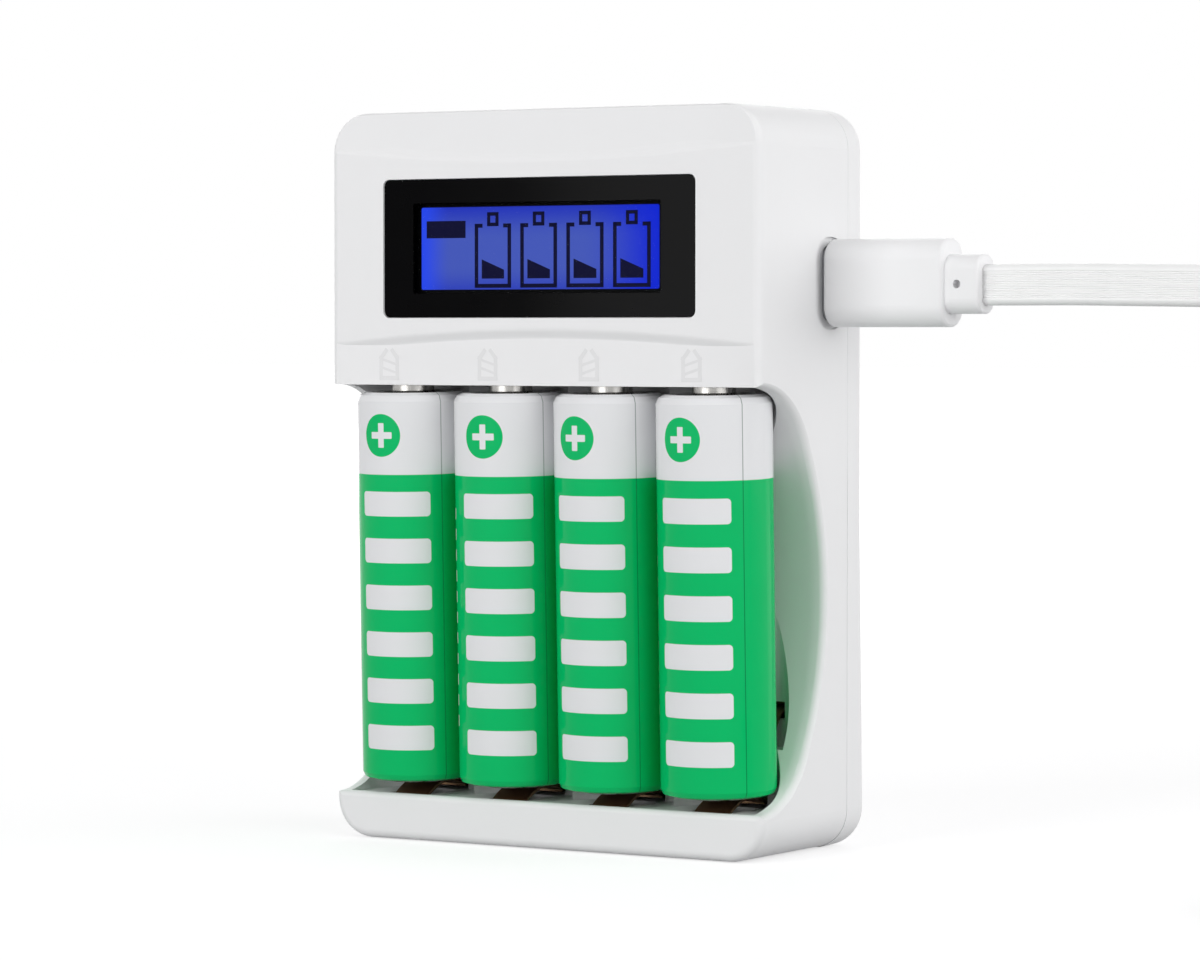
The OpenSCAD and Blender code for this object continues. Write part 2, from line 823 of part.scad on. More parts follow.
module seat_cell(i) {
  translate([cell_x[i], front_y + cell_v, cell_z])
    rotate([cell_lean, 0, 0])
      children();
}

module cell(i) {
  color([0.8, 0.8, 0.8])
    seat_cell(i)
      rotate_extrude($fn = 64)
        can_outline();
}

module wrap(i) {
  color([0.1, 0.65, 0.35])
    seat_cell(i)
      rotate_extrude($fn = 64)
        wrap_outline();
}

// Blocks that lie along X, made from the soft block by a quarter turn
module along_x(y, z) {
  translate([0, y, z])
    rotate([0, 0, -90])
      children();
}

module plug_grip() {
  color([0.93, 0.93, 0.94])
    difference() {
      union() {
        along_x(socket_y, socket_z)
          soft_block(plug_t, plug_h, 2.6, plug_x, collar_x, 0.5, 0.5);
        along_x(socket_y, socket_z - 0.2)
          soft_block(collar_t, collar_h, 1.8, collar_x - 2, lead_x, 0, 0.4);
      }
      // Moulding mark on the neck
      translate([collar_x + 1.7, socket_y - collar_t / 2 + 1.2, socket_z - 0.2])
        rotate([90, 0, 0])
          cylinder(r = 0.52, h = 3, $fn = 24);
    }
}

module plug_shell() {
  color([0.75, 0.76, 0.78])
    translate([body_w / 2 - 6.3, socket_y, socket_z])
      rotate([90, 0, 90])
        difference() {
          linear_extrude(height = plug_x - body_w / 2 + 6.3)
            round_rect(2.6 - 2 * fit_gap, 8.4 - 2 * fit_gap, 1.1);
          translate([0, 0, -1])
            linear_extrude(height = 6.4)
              round_rect(1.7, 7.4, 0.8);
        }
}

// Flat cord swept along a list of points, each with the way its width faces
function unit(p) = p / norm(p);
function spot(p) = [p[0], p[1], p[2]];
function heading(r, i) = unit(spot(r[min(i + 1, len(r) - 1)]) - spot(r[max(i - 1, 0)]));
function side_way(r, i) = unit(cross(heading(r, i), [r[i][3], r[i][4], r[i][5]]));
function width_way(r, i) = cross(side_way(r, i), heading(r, i));
cord_section = [
  [0.5, 0.3],
  [0.3, 0.5],
  [-0.3, 0.5],
  [-0.5, 0.3],
  [-0.5, -0.3],
  [-0.3, -0.5],
  [0.3, -0.5],
  [0.5, -0.3]
];
module flat_cord(r) {
  n = len(cord_section);
  m = len(r);
  polyhedron(
    points = [for (i = [0:m - 1], q = cord_section)
      spot(r[i]) + side_way(r, i) * cord_t * q[0] + width_way(r, i) * cord_w * q[1]],
    faces = concat(
      [[for (k = [0:n - 1]) k]],
      [for (i = [0:m - 2], k = [0:n - 1])
        [i * n + k, (i + 1) * n + k, (i + 1) * n + (k + 1) % n, i * n + (k + 1) % n]],
      [[for (k = [0:n - 1]) m * n - 1 - k]]
    )
  );
}

module lead_cord() {
  color([0.93, 0.93, 0.94])
    flat_cord(route);
}

module lead_coil() {
  color([0.93, 0.93, 0.94])
    translate([coil_x, coil_y, coil_lift])
      rotate_extrude($fn = 96)
        translate([coil_mid_r - coil_wind / 2, 0])
          square([coil_wind, cord_w]);
}

module lead_tail() {
  color([0.93, 0.93, 0.94])
    flat_cord(tail_route);
}

module coil_tie() {
  color([0.1, 0.1, 0.1])
    translate([coil_x, coil_y, 0])
      rotate([0, 0, -60])
        difference() {
          translate([coil_mid_r - coil_wind / 2 - 0.9, -2.5, 0])
            cube([coil_wind + 1.8, 5, cord_w + 2 * coil_lift]);
          translate([coil_mid_r - coil_wind / 2 - 0.3, -4, coil_lift])
            cube([coil_wind + 0.6, 8, cord_w]);
        }
}

module supply_grip() {
  color([0.93, 0.93, 0.94])
    along_x(tail_y - tail_r, far_z)
      soft_block(15.4, 7.8, 2, far_x, far_x + 24, 0.8, 0.8);
}

module supply_shell() {
  color([0.75, 0.76, 0.78])
    translate([far_x + 24, tail_y - tail_r, far_z])
      rotate([90, 0, 90])
        difference() {
          linear_extrude(height = 18.5)
            square([12, 4.5], center = true);
          translate([0, 0, 1])
            linear_extrude(height = 20)
              square([11.4, 3.9], center = true);
        }
}

module supply_tongue() {
  color([0.08, 0.08, 0.09])
    translate([far_x + 25, tail_y - tail_r - 5.7, far_z - 1.95])
      cube([16.5, 11.4, 1.9]);
}

front_housing();
rear_cover();
display_window();
lcd_panel();
lcd_backlight();
display_board();
board_link();
main_board();
charge_socket();
socket_tongue();
control_chip();
power_coil();
filter_caps();
case_screws();
plus_contact(0);  // plus_contact_1
plus_contact(1);  // plus_contact_2
plus_contact(2);  // plus_contact_3
plus_contact(3);  // plus_contact_4
aa_leaf(0);  // aa_leaf_1
aa_leaf(1);  // aa_leaf_2
aa_leaf(2);  // aa_leaf_3
aa_leaf(3);  // aa_leaf_4
aaa_leaf(0);  // aaa_leaf_1
aaa_leaf(1);  // aaa_leaf_2
aaa_leaf(2);  // aaa_leaf_3
aaa_leaf(3);  // aaa_leaf_4
cell(0);  // cell_1
cell(1);  // cell_2
cell(2);  // cell_3
cell(3);  // cell_4
wrap(0);  // wrap_1
wrap(1);  // wrap_2
wrap(2);  // wrap_3
wrap(3);  // wrap_4
plug_grip();
plug_shell();
lead_cord();
lead_coil();
lead_tail();
coil_tie();
supply_grip();
supply_shell();
supply_tongue();
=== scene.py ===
"""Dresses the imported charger: camera, light, lead, finishes, display and cell print."""

import logging
import math
from dataclasses import dataclass
from enum import Enum
from functools import partial
from typing import Callable, Optional, Union

import bpy
import numpy as np
from mathutils import Matrix, Vector


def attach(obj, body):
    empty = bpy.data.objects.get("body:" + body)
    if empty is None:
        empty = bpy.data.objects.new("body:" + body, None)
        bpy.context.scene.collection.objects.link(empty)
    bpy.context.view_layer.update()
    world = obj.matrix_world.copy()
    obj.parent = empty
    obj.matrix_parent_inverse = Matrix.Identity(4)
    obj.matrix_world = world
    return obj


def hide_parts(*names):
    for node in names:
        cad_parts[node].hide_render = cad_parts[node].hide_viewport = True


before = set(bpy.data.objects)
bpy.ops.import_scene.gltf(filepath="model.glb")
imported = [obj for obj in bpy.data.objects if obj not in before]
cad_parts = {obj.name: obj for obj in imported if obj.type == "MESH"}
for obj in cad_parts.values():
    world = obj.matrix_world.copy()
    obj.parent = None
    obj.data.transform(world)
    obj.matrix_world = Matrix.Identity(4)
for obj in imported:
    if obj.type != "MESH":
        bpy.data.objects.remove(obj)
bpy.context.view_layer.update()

MM = 0.001
IMAGE_WIDTH = 1200
LOG = logging.getLogger("charger")

Array = np.ndarray
Colour = tuple[float, float, float]
Point = tuple[float, float, float]


class Body(Enum):
    """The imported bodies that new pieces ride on."""

    CASE = "case"


class Slot(Enum):
    """Names of the record's material slots; no piece here takes its finish from them."""

    HOUSING = "housing"
    DISPLAY = "display"
    CORD = "lead_cord"


def tone(red: int, green: int, blue: int) -> Colour:
    """Turns a colour as seen on screen (0 to 255) into the linear values that shaders take.

    Args:
        red: Red level on screen.
        green: Green level on screen.
        blue: Blue level on screen.

    Returns:
        The three linear levels, each from 0 to 1.
    """
    level = np.array([red, green, blue]) / 255
    line = np.where(level <= 0.04045, level / 12.92, ((level + 0.055) / 1.055) ** 2.4)
    return tuple(float(v) for v in line)


def shaded(colour: Colour, share: float) -> Colour:
    """Darkens a colour to that share of its light."""
    return tuple(v * share for v in colour)


class Value:
    """A number in a material's node tree; Python operators on it add Math nodes."""

    def __init__(self, graph: "Graph", socket: bpy.types.NodeSocket) -> None:
        """Keeps the socket and the graph that it lives in."""
        self.graph = graph
        self.socket = socket

    def maths(self, operation: str, *terms: "Term") -> "Value":
        """Adds one Math node.

        Args:
            operation: Blender's name of the operation.
            terms: Its inputs in order, as values or plain numbers.

        Returns:
            The node's result.
        """
        node = self.graph.add("ShaderNodeMath", {"operation": operation}, dict(enumerate(terms)))
        return Value(self.graph, node.outputs[0])

    def __add__(self, other: "Term") -> "Value":
        """Sum."""
        return self.maths("ADD", self, other)

    def __radd__(self, other: "Term") -> "Value":
        """Sum with the number first."""
        return self.maths("ADD", other, self)

    def __sub__(self, other: "Term") -> "Value":
        """Difference."""
        return self.maths("SUBTRACT", self, other)

    def __rsub__(self, other: "Term") -> "Value":
        """Difference with the number first."""
        return self.maths("SUBTRACT", other, self)

    def __mul__(self, other: "Term") -> "Value":
        """Product."""
        return self.maths("MULTIPLY", self, other)

    def __rmul__(self, other: "Term") -> "Value":
        """Product with the number first."""
        return self.maths("MULTIPLY", other, self)

    def __truediv__(self, other: "Term") -> "Value":
        """Quotient."""
        return self.maths("DIVIDE", self, other)

    def __rtruediv__(self, other: "Term") -> "Value":
        """Quotient with the number first."""
        return self.maths("DIVIDE", other, self)

    def __neg__(self) -> "Value":
        """Opposite sign."""
        return self.maths("MULTIPLY", self, -1.0)

    def __abs__(self) -> "Value":
        """Size without its sign."""
        return self.maths("ABSOLUTE", self)

    def most(self, other: "Term") -> "Value":
        """Larger of the two."""
        return self.maths("MAXIMUM", self, other)

    def root(self) -> "Value":
        """Square root."""
        return self.maths("SQRT", self)

    def wave(self) -> "Value":
        """Sine of an angle in radians."""
        return self.maths("SINE", self)

    def bearing(self, ahead: "Value") -> "Value":
        """Angle in radians whose tangent is this value over the one ahead, in the right quarter."""
        return self.maths("ARCTAN2", self, ahead)

    def repeat(self, period: float) -> "Value":
        """Remainder that starts again every period."""
        return self.maths("FLOORED_MODULO", self, period)

    def ramp(self, low: float, high: float) -> "Value":
        """Soft step: 0 at low, 1 at high, smooth between them.

        Args:
            low: Where the step starts.
            high: Where it ends; it may be the smaller one.

        Returns:
            The step, from 0 to 1.
        """
        node = self.graph.add(
            "ShaderNodeMapRange",
            {"interpolation_type": "SMOOTHSTEP"},
            {"Value": self, "From Min": low, "From Max": high},
        )
        return Value(self.graph, node.outputs[0])


Term = Union[Value, float]
Paint = Union[Colour, bpy.types.NodeSocket]


class Graph:
    """The node tree of a material or world, with one method that adds any node."""

    def __init__(self, owner: Union[bpy.types.Material, bpy.types.World]) -> None:
        """Starts an empty tree in that material or world."""
        owner.use_nodes = True
        self.owner = owner
        self.tree = owner.node_tree
        self.tree.nodes.clear()

    @staticmethod
    def named(name: str) -> "Graph":
        """Starts a new material of that name."""
        return Graph(bpy.data.materials.new(name))

    def add(
        self, kind: str, settings: Optional[dict] = None, sockets: Optional[dict] = None
    ) -> bpy.types.Node:
        """Adds a node.

        Args:
            kind: Blender's type name of the node.
            settings: Its own settings, which are set first.
            sockets: Numbers, colours or links for its inputs, by name or place.

        Returns:
            The node.
        """
        node = self.tree.nodes.new(kind)
        for key, value in (settings or {}).items():
            setattr(node, key, value)
        for key, value in (sockets or {}).items():
            entry = node.inputs[key]
            if isinstance(value, Value):
                self.tree.links.new(value.socket, entry)
            elif isinstance(value, bpy.types.NodeSocket):
                self.tree.links.new(value, entry)
            elif isinstance(value, tuple) and entry.type == "RGBA":
                entry.default_value = (*value, 1.0)
            else:
                entry.default_value = value
        return node

    def place(self) -> tuple[Value, Value, Value]:
        """Reads the point's own place.

        Returns:
            X, Y and Z in millimetres.
        """
        where = self.add("ShaderNodeTexCoord").outputs["Object"]
        scaled = self.add("ShaderNodeVectorMath", {"operation": "SCALE"}, {0: where, "Scale": 1 / MM})
        parts = self.add("ShaderNodeSeparateXYZ", None, {0: scaled.outputs[0]})
        return tuple(Value(self, out) for out in parts.outputs)

    def noise(self, per_mm: float, detail: float = 2.0, stretch: Point = (1.0, 1.0, 1.0)) -> Value:
        """Soft random pattern on the piece's own coordinates.

        Args:
            per_mm: How many lumps there are to a millimetre.
            detail: How much finer pattern is added.
            stretch: Factors on the three axes before the pattern is read.

        Returns:
            The pattern, about 0 to 1 with its middle at 0.5.
        """
        where = self.add("ShaderNodeTexCoord").outputs["Object"]
        turned = self.add("ShaderNodeMapping", None, {"Vector": where, "Scale": stretch})
        node = self.add(
            "ShaderNodeTexNoise",
            None,
            {"Vector": turned.outputs[0], "Scale": per_mm / MM, "Detail": detail, "Roughness": 0.5},
        )
        return Value(self, node.outputs[0])

    def blend(self, mask: Value, low: Paint, high: Paint) -> bpy.types.NodeSocket:
        """Mixes two colours: low where the mask is 0 and high where it is 1.

        Args:
            mask: The share of high.
            low: First colour.
            high: Second colour.

        Returns:
            The mixed colour.
        """
        node = self.add("ShaderNodeMix", {"data_type": "RGBA"}, {0: mask, 6: low, 7: high})
        return node.outputs[2]

    def relief(self, height: Value, depth_mm: float) -> bpy.types.NodeSocket:
        """Turns a height pattern into a shading normal.

        Args:
            height: The pattern, 0 to 1.
            depth_mm: How deep it is in millimetres.

        Returns:
            The normal.
        """
        sockets = {"Height": height, "Strength": 1.0, "Distance": depth_mm * MM}
        return self.add("ShaderNodeBump", None, sockets).outputs[0]

    def coat(self, sockets: dict) -> bpy.types.Material:
        """Ends the material in one Principled shader.

        Args:
            sockets: Numbers, colours or links for its inputs.

        Returns:
            The finished material.
        """
        shader = self.add("ShaderNodeBsdfPrincipled", None, sockets)
        self.add("ShaderNodeOutputMaterial", None, {"Surface": shader.outputs[0]})
        return self.owner


def box_mask(
    u: Value, w: Value, half_u: float, half_w: float, corner: float, edge: float = 0.06
) -> Value:
    """Filled rectangle with round corners: distance = |max(|p| - half + corner, 0)| - corner.

    Args:
        u: Distance from the rectangle's middle, first way.
        w: Distance from the rectangle's middle, second way.
        half_u: Half its size the first way.
        half_w: Half its size the second way.
        corner: Corner radius.
        edge: Width of its soft rim.

    Returns:
        1 inside and 0 outside.
    """
    du = (abs(u) - (half_u - corner)).most(0.0)
    dw = (abs(w) - (half_w - corner)).most(0.0)
    return (du * du + dw * dw).root().ramp(corner + edge / 2, corner - edge / 2)


@dataclass(frozen=True)
class MouldedPlastic:
    """Moulded plastic with a faint mottle, uneven gloss and a fine tool grain."""

    name: str
    colour: Colour
    roughness: float = 0.34
    mottle: float = 0.02
    grain_mm: float = 0.004
    specular: float = 0.5
    mottle_per_mm: float = 0.05
    gloss_per_mm: float = 0.35
    gloss_swing: float = 0.08
    grain_per_mm: float = 5.0

    def material(self) -> bpy.types.Material:
        """Makes the material.

        Returns:
            The finish.
        """
        graph = Graph.named(self.name)
        cloud = graph.noise(self.mottle_per_mm, 3.0)
        dark = shaded(self.colour, 1 - self.mottle)
        gloss = self.roughness + (graph.noise(self.gloss_per_mm, 3.0) - 0.5) * self.gloss_swing
        return graph.coat(
            {
                "Base Color": graph.blend(cloud, dark, self.colour),
                "Roughness": gloss,
                "Specular IOR Level": self.specular,
                "Normal": graph.relief(graph.noise(self.grain_per_mm, 2.0), self.grain_mm),
            }
        )


@dataclass(frozen=True)
class PlatedMetal:
    """Plated or bare metal with fine lines along one way and slightly cloudy plating."""

    name: str
    colour: Colour
    roughness: float = 0.25
    lines: Point = (1.0, 1.0, 0.05)
    shade: float = 0.25
    lines_per_mm: float = 4.0
    line_depth_mm: float = 0.003
    cloud_per_mm: float = 0.3
    cloud_share: float = 0.6
    gloss_swing: float = 0.2

    def material(self) -> bpy.types.Material:
        """Makes the material.

        Returns:
            The finish.
        """
        graph = Graph.named(self.name)
        streak = graph.noise(self.lines_per_mm, 3.0, self.lines)
        cloud = graph.noise(self.cloud_per_mm, 3.0)
        shades = cloud * self.cloud_share + streak * (1 - self.cloud_share)
        return graph.coat(
            {
                "Base Color": graph.blend(shades, shaded(self.colour, 1 - self.shade), self.colour),
                "Metallic": 1.0,
                "Roughness": self.roughness + (streak - 0.5) * self.gloss_swing,
                "Normal": graph.relief(streak, self.line_depth_mm),
            }
        )


@dataclass(frozen=True)
class BoardLacquer:
    """Green circuit board with copper tracks showing through the lacquer."""

    name: str
    ground: Colour
    track: Colour
    pitch: tuple[float, float] = (2.4, 3.1)
    half_width: tuple[float, float] = (0.3, 0.25)
    edge: float = 0.05
    track_mm: float = 0.03
    area_per_mm: float = 0.22
    area_edge: tuple[float, float] = (0.47, 0.53)
    roughness: float = 0.3
    gloss_per_mm: float = 0.8
    gloss_swing: float = 0.12

    def tracks(self, place: Value, way: int) -> Value:
        """Makes one set of lines, each within half a width of the middle of its pitch.

        Args:
            place: Distance across the lines.
            way: Which of the two sets it is, 0 or 1.

        Returns:
            1 on a line and 0 between lines.
        """
        pitch, half = self.pitch[way], self.half_width[way]
        return abs(place.repeat(pitch) - pitch / 2).ramp(half + self.edge, half - self.edge)

    def material(self) -> bpy.types.Material:
        """Makes the material: one set of tracks in some areas and the other set in the rest.

        Returns:
            The finish.
        """
        graph = Graph.named(self.name)
        x, _, z = graph.place()
        area = graph.noise(self.area_per_mm, 1.0).ramp(*self.area_edge)
        lines = self.tracks(x, 0) * area + self.tracks(z, 1) * (1 - area)
        return graph.coat(
            {
                "Base Color": graph.blend(lines, self.ground, self.track),
                "Roughness": self.roughness + graph.noise(self.gloss_per_mm) * self.gloss_swing,
                "Normal": graph.relief(lines, self.track_mm),
            }
        )


@dataclass(frozen=True)
class WindowGloss:
    """Black window with a clear middle in front of the lit panel."""

    name: str
    middle: tuple[float, float]
    half: tuple[float, float]
    corner: float = 0.3
    clearness: float = 0.96
    black: Colour = tone(1, 1, 2)
    smear: Colour = tone(5, 5, 6)
    smear_per_mm: float = 0.12
    roughness: float = 0.07
    gloss_swing: float = 0.05
    specular: float = 0.03

    def material(self) -> bpy.types.Material:
        """Makes the material; its alpha is low inside the clear rectangle.

        Returns:
            The finish.
        """
        graph = Graph.named(self.name)
        x, _, z = graph.place()
        clear = box_mask(x - self.middle[0], z - self.middle[1], *self.half, self.corner)
        cloud = graph.noise(self.smear_per_mm, 4.0)
        return graph.coat(
            {
                "Base Color": graph.blend(cloud, self.black, self.smear),
                "Roughness": self.roughness + cloud * self.gloss_swing,
                "Alpha": 1 - clear * self.clearness,
                "Specular IOR Level": self.specular,
            }
        )


@dataclass(frozen=True)
class LitPanel:
    """Blue lit display with a near-black margin: pale in the middle, deeper at the top and both ends.
    The margin's lift from black is painted reflection, matching the grey that the window's black
    border shows.

    A range such as top_from says where a colour starts and where it is full, with 0 in the lit
    rectangle's middle and 1 or -1 at its edge.
    """

    name: str
    middle: tuple[float, float]
    half: tuple[float, float]
    corner: float = 0.25
    pale: Colour = tone(72, 92, 190)
    top: Colour = tone(34, 52, 190)
    left: Colour = tone(42, 76, 246)
    right: Colour = tone(16, 40, 216)
    top_from: tuple[float, float] = (0.2, 1.15)
    foot_from: tuple[float, float] = (-0.4, -1.4)
    left_from: tuple[float, float] = (-0.74, -1.03)
    right_from: tuple[float, float] = (0.35, 1.05)
    ground: Colour = tone(2, 2, 5)
    # Painted reflection: the margin's base colour is lifted from black to match the window border's
    # reflected grey.
    margin: Colour = tone(15, 15, 16)
    dot_pitch: float = 0.22
    dot_share: float = 0.02
    roughness: float = 0.35
    gloss_per_mm: float = 1.5
    gloss_swing: float = 0.1
    specular: float = 0.01

    def material(self) -> bpy.types.Material:
        """Makes the material; each edge's colour comes in by a soft step towards that edge.

        Returns:
            The finish.
        """
        graph = Graph.named(self.name)
        x, _, z = graph.place()
        side, rise = x - self.middle[0], z - self.middle[1]
        along, up = side / self.half[0], rise / self.half[1]
        turns = 2 * math.pi / self.dot_pitch
        dots = (x * turns).wave() * (z * turns).wave()
        ends = up.ramp(*self.top_from).most(up.ramp(*self.foot_from))
        glow = graph.blend(ends + dots * self.dot_share, self.pale, self.top)
        glow = graph.blend(along.ramp(*self.left_from), glow, self.left)
        glow = graph.blend(along.ramp(*self.right_from), glow, self.right)
        lit = box_mask(side, rise, *self.half, self.corner)
        return graph.coat(
            {
                # Painted reflection in the margin outside the lit rectangle.
                "Base Color": graph.blend(lit, self.margin, self.ground),
                "Roughness": self.roughness + graph.noise(self.gloss_per_mm) * self.gloss_swing,
                "Specular IOR Level": self.specular,
                "Emission Color": graph.blend(lit, (0.0, 0.0, 0.0), glow),
                "Emission Strength": 1.0,
            }
        )


@dataclass(frozen=True)
class Segment:
    """Dark display segment that lets a little of the blue light through."""

    name: str
    glow: Colour = tone(19, 20, 53)
    ground: Colour = tone(3, 3, 6)
    dimmest: float = 0.85
    cloud_per_mm: float = 0.8
    roughness: float = 0.4
    gloss_swing: float = 0.1
    specular: float = 0.01

    def material(self) -> bpy.types.Material:
        """Makes the material.

        Returns:
            The finish.
        """
        graph = Graph.named(self.name)
        cloud = graph.noise(self.cloud_per_mm, 2.0)
        return graph.coat(
            {
                "Base Color": self.ground,
                "Roughness": self.roughness + cloud * self.gloss_swing,
                "Specular IOR Level": self.specular,
                "Emission Color": graph.blend(cloud, shaded(self.glow, self.dimmest), self.glow),
                "Emission Strength": 1.0,
            }
        )


@dataclass(frozen=True)
class CellPrint:
    """Printed shrink wrap: green body, white top band, generic charge bars and a plus mark.

    Places and sizes are in millimetres: u runs round the cell from the print's middle and w runs
    up the cell's axis from its foot.
    """

    name: str
    cell_x: float
    turn_deg: float
    foot: tuple[float, float] = (-7.1, 7.7)
    lean_deg: float = 1.5
    radius: float = 7.15
    band_from: float = 38.75
    bars_w: tuple[float, float] = (2.6, 38.0)
    bar_pitch: float = 5.9
    bar_half: tuple[float, float] = (4.9, 1.55)
    bar_corner: float = 0.5
    dashes_u: float = -8.2
    dashes_w: tuple[float, float] = (6.6, 35.25)
    dash_start: float = 4.0
    dash_pitch: float = 2.6
    dash_half: tuple[float, float] = (0.45, 0.7)
    dash_corner: float = 0.15
    disc_at: tuple[float, float] = (-1.5, 43.7)
    disc_radius: float = 2.7
    plus_half: tuple[float, float] = (1.55, 0.42)
    plus_corner: float = 0.1
    edge: float = 0.05
    disc_edge: float = 0.03
    seam_deg: float = 52.0
    seam_half: tuple[float, float] = (0.09, 0.04)
    seam_colour: Colour = tone(0, 60, 35)
    seam_share: float = 0.55
    green: Colour = (0.002, 0.505, 0.14)
    green_dimmest: float = 0.95
    white: Colour = (0.78, 0.785, 0.80)
    cloud_per_mm: float = 0.25
    film_per_mm: float = 0.6
    film_stretch: Point = (1.0, 1.0, 0.3)
    film_share: float = 0.2
    relief_mm: float = 0.04
    roughness: float = 0.08
    gloss_swing: float = 0.04
    specular: float = 0.07

    def spread(self, graph: Graph) -> tuple[Value, Value]:
        """Unrolls the leaning cell: u = (angle - turn) radius, w = up cos(lean) - back sin(lean).

        Args:
            graph: The material's node tree.

        Returns:
            The values u and w.
        """
        x, y, z = graph.place()
        lean = math.radians(self.lean_deg)
        back, up = y - self.foot[0], z - self.foot[1]
        w = up * math.cos(lean) - back * math.sin(lean)
        out = back * math.cos(lean) + up * math.sin(lean)
        angle = (x - self.cell_x).bearing(-out)
        return (angle - math.radians(self.turn_deg)) * self.radius, w

    def stretch(self, w: Value, ends: tuple[float, float]) -> Value:
        """Gives 1 between the two ends and 0 beyond them."""
        return w.ramp(ends[0], ends[0] + self.edge) * w.ramp(ends[1], ends[1] - self.edge)

    def white_print(self, u: Value, w: Value) -> Value:
        """Draws all that is white: the band around the disc, the bars, the dashes and the plus.

        Args:
            u: Distance round the cell.
            w: Distance up the cell.

        Returns:
            1 where the print is white and 0 where it is green.
        """
        band = w.ramp(self.band_from - self.edge, self.band_from + self.edge)
        bar_w = (w - self.bars_w[0]).repeat(self.bar_pitch) - self.bar_pitch / 2
        bars = box_mask(u, bar_w, *self.bar_half, self.bar_corner) * self.stretch(w, self.bars_w)
        dash_w = (w - self.dash_start).repeat(self.dash_pitch) - self.dash_pitch / 2
        dash = box_mask(u - self.dashes_u, dash_w, *self.dash_half, self.dash_corner)
        dashes = dash * self.stretch(w, self.dashes_w)
        across, rise = u - self.disc_at[0], w - self.disc_at[1]
        away = (across * across + rise * rise).root()
        disc = away.ramp(self.disc_radius + self.disc_edge, self.disc_radius - self.disc_edge)
        flat = box_mask(across, rise, *self.plus_half, self.plus_corner)
        upright = box_mask(rise, across, *self.plus_half, self.plus_corner)
        plus = flat.most(upright)
        return (band * (1 - disc)).most(bars).most(dashes).most(disc * plus)

    def material(self) -> bpy.types.Material:
        """Makes the material: the print, a thin dark seam and the film's lap over it.

        Returns:
            The finish.
        """
        graph = Graph.named(self.name)
        u, w = self.spread(graph)
        seam_u = u - math.radians(self.seam_deg) * self.radius
        seam = abs(seam_u).ramp(*self.seam_half)
        lap = seam_u.ramp(-self.seam_half[1], self.seam_half[1])
        cloud = graph.noise(self.cloud_per_mm, 3.0)
        shades = graph.blend(cloud, shaded(self.green, self.green_dimmest), self.green)
        overlay_tone = graph.blend(self.white_print(u, w), shades, self.white)
        film = graph.noise(self.film_per_mm, 2.0, self.film_stretch)
        height = film * self.film_share + lap * (1 - self.film_share)
        return graph.coat(
            {
                "Base Color": graph.blend(seam * self.seam_share, overlay_tone, self.seam_colour),
                "Roughness": self.roughness + (film - 0.5) * self.gloss_swing,
                "Specular IOR Level": self.specular,
                "Normal": graph.relief(height, self.relief_mm),
            }
        )


@dataclass(frozen=True)
class CordJacket:
    """Soft white cord jacket with an uneven sheen."""

    name: str
    colour: Colour
    dimmest: float = 0.95
    cloud_per_mm: float = 0.3
    roughness: float = 0.45
    gloss_per_mm: float = 1.2
    gloss_swing: float = 0.12
    grain_per_mm: float = 6.0
    grain_mm: float = 0.006

    def material(self) -> bpy.types.Material:
        """Makes the material.

        Returns:
            The finish.
        """
        graph = Graph.named(self.name)
        cloud = graph.noise(self.cloud_per_mm, 3.0)
        gloss = self.roughness + graph.noise(self.gloss_per_mm, 2.0) * self.gloss_swing
        return graph.coat(
            {
                "Base Color": graph.blend(cloud, shaded(self.colour, self.dimmest), self.colour),
                "Roughness": gloss,
                "Normal": graph.relief(graph.noise(self.grain_per_mm, 2.0), self.grain_mm),
            }
        )


@dataclass
class Patch:
    """A stretch of surface: its points and the faces between them."""

    points: Array
    faces: list[tuple[int, ...]]

    @staticmethod
    def grid(points: Array, closed: bool = False) -> "Patch":
        """Joins a grid of points, P(u, v), with four-sided faces.

        Args:
            points: Array of shape (count u, count v, 3).
            closed: Whether the last column joins the first.

        Returns:
            The patch.
        """
        nu, nv = points.shape[:2]
        i = np.arange(nu - 1)[:, None]
        j = np.arange(nv if closed else nv - 1)[None, :]
        i2, j2 = i + 1, (j + 1) % nv
        corners = [i * nv + j, i2 * nv + j, i2 * nv + j2, i * nv + j2]
        quads = np.stack(corners, axis=-1).reshape(-1, 4)
        return Patch(points.reshape(-1, 3), [tuple(q) for q in quads.tolist()])

    @staticmethod
    def swept(rings: Array) -> "Patch":
        """Closes a row of rings into a solid with a cap at both ends.

        Args:
            rings: Array of shape (ring, point on ring, 3); each ring runs the same way round.

        Returns:
            The patch.
        """
        body = Patch.grid(rings, closed=True)
        count, around = rings.shape[:2]
        first = tuple(range(around))
        last = tuple((count - 1) * around + k for k in reversed(range(around)))
        return Patch(body.points, body.faces + [first, last])

    @staticmethod
    def joined(patches: list["Patch"]) -> "Patch":
        """Puts several patches into one.

        Args:
            patches: The patches in order.

        Returns:
            One patch that holds them all.
        """
        starts = np.cumsum([0] + [len(p.points) for p in patches])
        faces = [tuple(k + int(s) for k in f) for p, s in zip(patches, starts) for f in p.faces]
        return Patch(np.concatenate([p.points for p in patches]), faces)


def make_piece(
    name: str, patch: Patch, material: bpy.types.Material, smooth: bool = True
) -> bpy.types.Object:
    """Makes a piece in the row frame that rides on the case.

    Args:
        name: The piece's name.
        patch: Its surface in metres.
        material: Its finish.
        smooth: Whether its faces shade smoothly.

    Returns:
        The new object.
    """
    mesh = bpy.data.meshes.new(name)
    mesh.from_pydata(patch.points.tolist(), [], patch.faces)
    mesh.update()
    mesh.polygons.foreach_set("use_smooth", np.full(len(mesh.polygons), smooth))
    mesh.materials.append(material)
    piece = bpy.data.objects.new(name, mesh)
    bpy.context.scene.collection.objects.link(piece)
    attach(piece, Body.CASE.value)
    LOG.info("made %s: %d points, %d faces", name, len(patch.points), len(patch.faces))
    return piece


